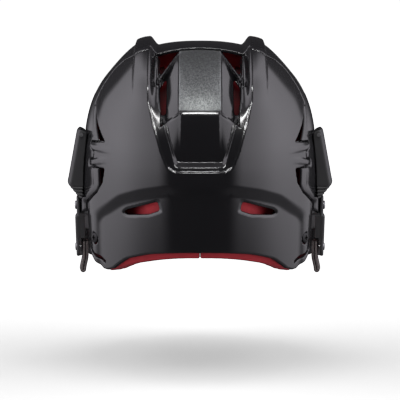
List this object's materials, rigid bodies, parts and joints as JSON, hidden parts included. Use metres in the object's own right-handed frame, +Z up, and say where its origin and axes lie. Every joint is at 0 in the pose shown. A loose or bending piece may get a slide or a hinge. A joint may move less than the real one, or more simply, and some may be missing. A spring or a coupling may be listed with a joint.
{
  "type": "ice hockey helmet",
  "caption": "Two-piece vented ice hockey helmet with foam liners, flip latches at the sides, ear guards, webbing loops and a chin strap with a cup.",
  "frame": {"origin": "under the middle of the helmet, at the level of its lowest point, where the chin strap and the ear loops rest", "axes": "+Z up through the crown, -Y out of the face opening, +X towards the wearer's left"},
  "size_m": [0.2222, 0.2498, 0.1961],
  "materials": {
    "shell": "gloss",
    "matte_trim": "matte",
    "foam": "matte closed-cell foam",
    "brow_foam": "matte soft foam",
    "pad_rubber": "matte",
    "webbing": "woven",
    "steel": "satin"
  },
  "bodies": {
    "rear": {"rear_shell": "shell", "rear_liner_left": "foam", "rear_liner_right": "foam", "corner_screws": "steel", "corner_nuts": "steel"},
    "front": {"front_shell": "shell", "front_liner": "foam", "crown_liner": "foam", "brow_pad": "brow_foam", "temple_liner_left": "foam", "temple_liner_right": "foam", "ear_guard_left": "matte_trim", "ear_guard_right": "matte_trim", "guard_screws": "steel", "ear_loop_left": "webbing", "ear_loop_right": "webbing", "loop_rivets": "steel", "fitting_nuts": "steel", "latch_pins": "steel", "snap_studs": "steel"},
    "latch_left": {"side_latch_left": "matte_trim", "latch_pad_left": "pad_rubber"},
    "latch_right": {"side_latch_right": "matte_trim", "latch_pad_right": "pad_rubber"},
    "strap": {"chin_strap": "webbing", "chin_cup": "matte_trim", "strap_snaps": "matte_trim", "strap_slides": "matte_trim"}
  },
  "joints": [
    {"name": "front_slide", "type": "slide", "parent": "rear", "child": "front", "axis": [0, -1, 0], "range_m": [0, 0.015]},
    {"name": "latch_left_hinge", "type": "hinge", "parent": "front", "child": "latch_left", "pos_m": [0.09974, 0.01, 0.1165], "axis": [0.063, -0.998, 0], "range_deg": [0, 75]},
    {"name": "latch_right_hinge", "type": "hinge", "parent": "front", "child": "latch_right", "pos_m": [-0.09974, 0.01, 0.1165], "axis": [0.063, 0.998, 0], "range_deg": [0, 75]},
    {"name": "strap_hinge", "type": "hinge", "parent": "front", "child": "strap", "pos_m": [0, -0.03, 0.022], "axis": [1, 0, 0], "range_deg": [-25, 75]}
  ]
}
